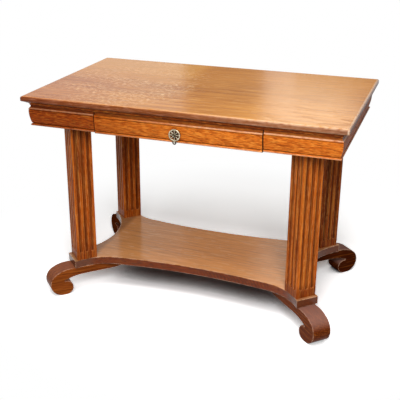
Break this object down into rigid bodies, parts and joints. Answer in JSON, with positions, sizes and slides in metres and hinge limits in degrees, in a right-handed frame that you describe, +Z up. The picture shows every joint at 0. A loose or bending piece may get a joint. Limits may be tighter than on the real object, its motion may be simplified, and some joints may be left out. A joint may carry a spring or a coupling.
{
  "type": "library table",
  "caption": "Oak library table with a moulded frieze, a drawer with a drop pull, fluted columns set on the diagonal, a hollowed low shelf and scroll feet.",
  "frame": {"origin": "on the floor under the middle of the top", "axes": "+X along the length to the table's right, +Y to the back, away from the drawer, +Z up"},
  "size_m": [1.104, 0.668, 0.762],
  "materials": {
    "oak_top": "satin varnish, open grain",
    "oak_frieze": "gloss varnish, orange brown",
    "oak_column": "gloss varnish, red brown",
    "oak_shelf": "satin varnish",
    "oak_foot": "gloss varnish, red brown",
    "frame_wood": "bare sawn wood",
    "drawer_wood": "bare planed wood",
    "aged_brass": "worn cast brass",
    "steel": "plain"
  },
  "bodies": {
    "table": {"top_panel": "oak_top", "shelf": "oak_shelf", "apron_back": "oak_frieze", "apron_left": "oak_frieze", "apron_right": "oak_frieze", "apron_front_left": "oak_frieze", "apron_front_right": "oak_frieze", "bed_mould_front": "oak_frieze", "bed_mould_back": "oak_frieze", "bed_mould_left": "oak_frieze", "bed_mould_right": "oak_frieze", "column_front_left": "oak_column", "scroll_foot_front_left": "oak_foot", "corner_block_front_left": "frame_wood", "column_front_right": "oak_column", "scroll_foot_front_right": "oak_foot", "corner_block_front_right": "frame_wood", "column_back_left": "oak_column", "scroll_foot_back_left": "oak_foot", "corner_block_back_left": "frame_wood", "column_back_right": "oak_column", "scroll_foot_back_right": "oak_foot", "corner_block_back_right": "frame_wood", "column_rail_left": "frame_wood", "drawer_post_left": "frame_wood", "drawer_runner_left": "frame_wood", "drawer_kicker_left": "frame_wood", "column_rail_right": "frame_wood", "drawer_post_right": "frame_wood", "drawer_runner_right": "frame_wood", "drawer_kicker_right": "frame_wood", "front_top_rail": "frame_wood", "front_bearer": "frame_wood", "column_bolts": "steel", "foot_bolts": "steel", "foot_screws": "steel", "top_screws": "steel"},
    "drawer": {"drawer_front": "oak_frieze", "drawer_side_left": "drawer_wood", "drawer_side_right": "drawer_wood", "drawer_back": "drawer_wood", "drawer_bottom": "drawer_wood", "pull_post": "aged_brass", "pull_rosette": "aged_brass", "pull_nut": "steel"},
    "pull_drop": {"pull_drop": "aged_brass", "pull_pin": "aged_brass"}
  },
  "joints": [
    {"name": "drawer_slide", "type": "slide", "parent": "table", "child": "drawer", "axis": [0, -1, 0], "range_m": [0, 0.33]},
    {"name": "drop_swing", "type": "hinge", "parent": "drawer", "child": "pull_drop", "pos_m": [0, -0.322, 0.6582], "axis": [-1, 0, 0], "range_deg": [-30, 85]}
  ]
}
